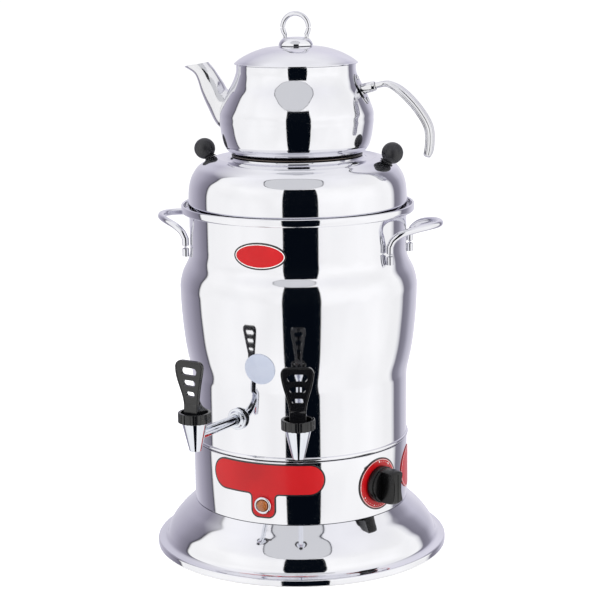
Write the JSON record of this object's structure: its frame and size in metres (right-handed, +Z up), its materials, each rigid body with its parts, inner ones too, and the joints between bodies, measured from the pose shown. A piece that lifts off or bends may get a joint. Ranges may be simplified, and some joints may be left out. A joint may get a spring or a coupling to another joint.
{
  "type": "samovar",
  "caption": "Electric tea urn with a bell foot, a control band, twin lever taps and side handles, and a teapot standing on its dome lid.",
  "frame": {"origin": "on the urn's axis, on the surface that the foot pads stand on", "axes": "+Z up; the front with the taps faces -Y; the teapot's spout points to -X and its handle to +X"},
  "size_m": [0.334, 0.379, 0.6085],
  "materials": {
    "polished_steel": "mirror-polished stainless steel sheet",
    "chromed_brass": "chrome plate over cast brass",
    "plain_steel": "mill-finish steel",
    "black_plastic": "glossy moulded heat-proof plastic",
    "black_rubber": "matte moulded rubber",
    "red_label": "glossy printed film",
    "pale_label": "satin printed film",
    "amber_lens": "clear amber plastic",
    "brass": "plain turned brass"
  },
  "bodies": {
    "urn": {"base_skirt": "polished_steel", "bottom_cover": "plain_steel", "foot_pad_1": "black_rubber", "foot_pad_2": "black_rubber", "foot_pad_3": "black_rubber", "foot_pad_4": "black_rubber", "control_band": "polished_steel", "tank": "polished_steel", "tank_boss": "brass", "tie_bolt": "plain_steel", "heating_element": "plain_steel", "element_nut_1": "brass", "element_nut_2": "brass", "terminal_block": "black_plastic", "cable_gland": "black_plastic", "name_panel": "red_label", "dial_plate": "red_label", "side_badge": "red_label", "oval_badge": "red_label", "round_sticker": "pale_label", "lamp_bezel": "chromed_brass", "lamp_lens": "amber_lens", "thermostat_body": "plain_steel", "side_handle_left": "polished_steel", "side_handle_right": "polished_steel", "tap_body_left": "chromed_brass", "tap_gasket_left": "black_rubber", "tap_rosette_left": "chromed_brass", "tap_locknut_left": "brass", "tap_bonnet_left": "black_plastic", "tap_pivot_pin_left": "plain_steel", "tap_body_right": "chromed_brass", "tap_gasket_right": "black_rubber", "tap_rosette_right": "chromed_brass", "tap_locknut_right": "brass", "tap_bonnet_right": "black_plastic", "tap_pivot_pin_right": "plain_steel"},
    "knob": {"thermostat_knob": "black_plastic", "thermostat_shaft": "plain_steel"},
    "lever_left": {"tap_lever_left": "black_plastic"},
    "lever_right": {"tap_lever_right": "black_plastic"},
    "spindle_left": {"tap_spindle_left": "plain_steel", "tap_seat_left": "black_rubber"},
    "spindle_right": {"tap_spindle_right": "plain_steel", "tap_seat_right": "black_rubber"},
    "dome": {"dome_lid": "polished_steel", "dome_knob_left": "black_plastic", "dome_knob_right": "black_plastic"},
    "teapot": {"teapot_body": "polished_steel", "teapot_base": "polished_steel", "teapot_spout": "polished_steel", "teapot_handle": "polished_steel", "handle_bracket": "polished_steel", "handle_rivet_lower": "plain_steel", "handle_rivet_upper": "plain_steel"},
    "pot_lid": {"teapot_lid": "polished_steel", "lid_finial": "polished_steel", "lid_ring": "polished_steel", "lid_screw": "plain_steel"}
  },
  "joints": [
    {"name": "knob_turn", "type": "hinge", "parent": "urn", "child": "knob", "pos_m": [0.10949, -0.05821, 0.0914], "axis": [-0.8829, 0.4695, 0], "range_deg": [0, 270]},
    {"name": "lever_left_tilt", "type": "hinge", "parent": "urn", "child": "lever_left", "pos_m": [-0.05887, -0.20002, 0.1935], "axis": [0.9593, -0.2823, 0], "range_deg": [0, 35], "stiffness_Nm_per_rad": 0.2, "springref_deg": -11.46},
    {"name": "spindle_left_lift", "type": "slide", "parent": "urn", "child": "spindle_left", "axis": [0, 0, 1], "range_m": [0, 0.0041]},
    {"name": "lever_right_tilt", "type": "hinge", "parent": "urn", "child": "lever_right", "pos_m": [0.05887, -0.20002, 0.1935], "axis": [0.9593, 0.2823, 0], "range_deg": [0, 35], "stiffness_Nm_per_rad": 0.2, "springref_deg": -11.46},
    {"name": "spindle_right_lift", "type": "slide", "parent": "urn", "child": "spindle_right", "axis": [0, 0, 1], "range_m": [0, 0.0041]},
    {"name": "dome_lift", "type": "slide", "parent": "urn", "child": "dome", "axis": [0, 0, 1], "range_m": [0, 0.12]},
    {"name": "teapot_lift", "type": "slide", "parent": "dome", "child": "teapot", "axis": [0, 0, 1], "range_m": [0, 0.1]},
    {"name": "pot_lid_lift", "type": "slide", "parent": "teapot", "child": "pot_lid", "axis": [0, 0, 1], "range_m": [0, 0.06]}
  ],
  "couplings": [
    {"joint": "spindle_left_lift", "follows": "lever_left_tilt", "m_per_rad": 0.00671},
    {"joint": "spindle_right_lift", "follows": "lever_right_tilt", "m_per_rad": 0.00671}
  ]
}
